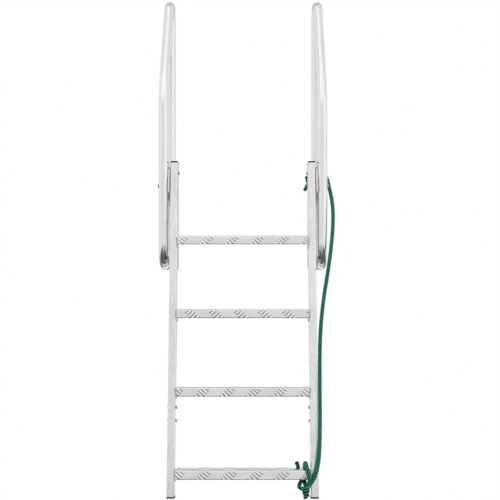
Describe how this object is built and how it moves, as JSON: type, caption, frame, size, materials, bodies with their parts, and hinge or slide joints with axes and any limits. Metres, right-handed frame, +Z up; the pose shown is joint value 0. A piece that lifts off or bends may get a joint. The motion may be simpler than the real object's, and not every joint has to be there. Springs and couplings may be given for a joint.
{
  "type": "swing-up dock ladder",
  "caption": "Aluminium dock ladder with chequer-plate treads, hinged on brackets between two handrail hoops, with a lifting rope.",
  "frame": {"origin": "on the dock face of the left bracket, on its middle line and level with the middle of its two bolts", "axes": "+X along the dock's edge from the left bracket to the right, +Y into the dock, +Z up"},
  "size_m": [0.6173, 0.5271, 1.7489],
  "materials": {
    "rail_aluminium": "bright extruded aluminium with fine drawn lines",
    "chequer_plate": "bright rolled chequer plate",
    "hoop_aluminium": "smooth bright tube",
    "bracket_aluminium": "plain mill finish",
    "bolt_steel": "plain stainless steel",
    "cap_plastic": "black moulded plastic",
    "pad_rubber": "black rubber",
    "washer_plastic": "white nylon",
    "rope_green": "laid green synthetic rope"
  },
  "bodies": {
    "dock_mount": {"left_dock_bracket": "bracket_aluminium", "left_hinge_ear": "bracket_aluminium", "left_pivot_bolt": "bolt_steel", "left_pivot_washer": "washer_plastic", "left_handrail_hoop": "hoop_aluminium", "left_hoop_bolt": "bolt_steel", "left_stop_arm": "bracket_aluminium", "left_stop_pad": "pad_rubber", "right_dock_bracket": "bracket_aluminium", "right_hinge_ear": "bracket_aluminium", "right_pivot_bolt": "bolt_steel", "right_pivot_washer": "washer_plastic", "right_handrail_hoop": "hoop_aluminium", "right_hoop_bolt": "bolt_steel", "right_stop_arm": "bracket_aluminium", "right_stop_pad": "pad_rubber", "rope_top_hitch": "rope_green"},
    "ladder": {"left_upper_rail": "rail_aluminium", "left_lower_rail": "rail_aluminium", "left_rail_cap": "cap_plastic", "left_rail_foot": "cap_plastic", "left_splice": "rail_aluminium", "left_splice_bolts": "bolt_steel", "tread_1_left_end": "bracket_aluminium", "tread_2_left_end": "bracket_aluminium", "tread_3_left_end": "bracket_aluminium", "tread_4_left_end": "bracket_aluminium", "right_upper_rail": "rail_aluminium", "right_lower_rail": "rail_aluminium", "right_rail_cap": "cap_plastic", "right_rail_foot": "cap_plastic", "right_splice": "rail_aluminium", "right_splice_bolts": "bolt_steel", "tread_1_right_end": "bracket_aluminium", "tread_2_right_end": "bracket_aluminium", "tread_3_right_end": "bracket_aluminium", "tread_4_right_end": "bracket_aluminium", "tread_1": "chequer_plate", "tread_2": "chequer_plate", "tread_3": "chequer_plate", "tread_4": "chequer_plate", "rope_run": "rope_green", "rope_tread_hitch": "rope_green"}
  },
  "joints": [
    {"name": "ladder_swing", "type": "hinge", "parent": "dock_mount", "child": "ladder", "pos_m": [0.261, -0.064, 0.221], "axis": [-1, 0, 0], "range_deg": [0, 165], "deforming": ["rope_run"]}
  ]
}
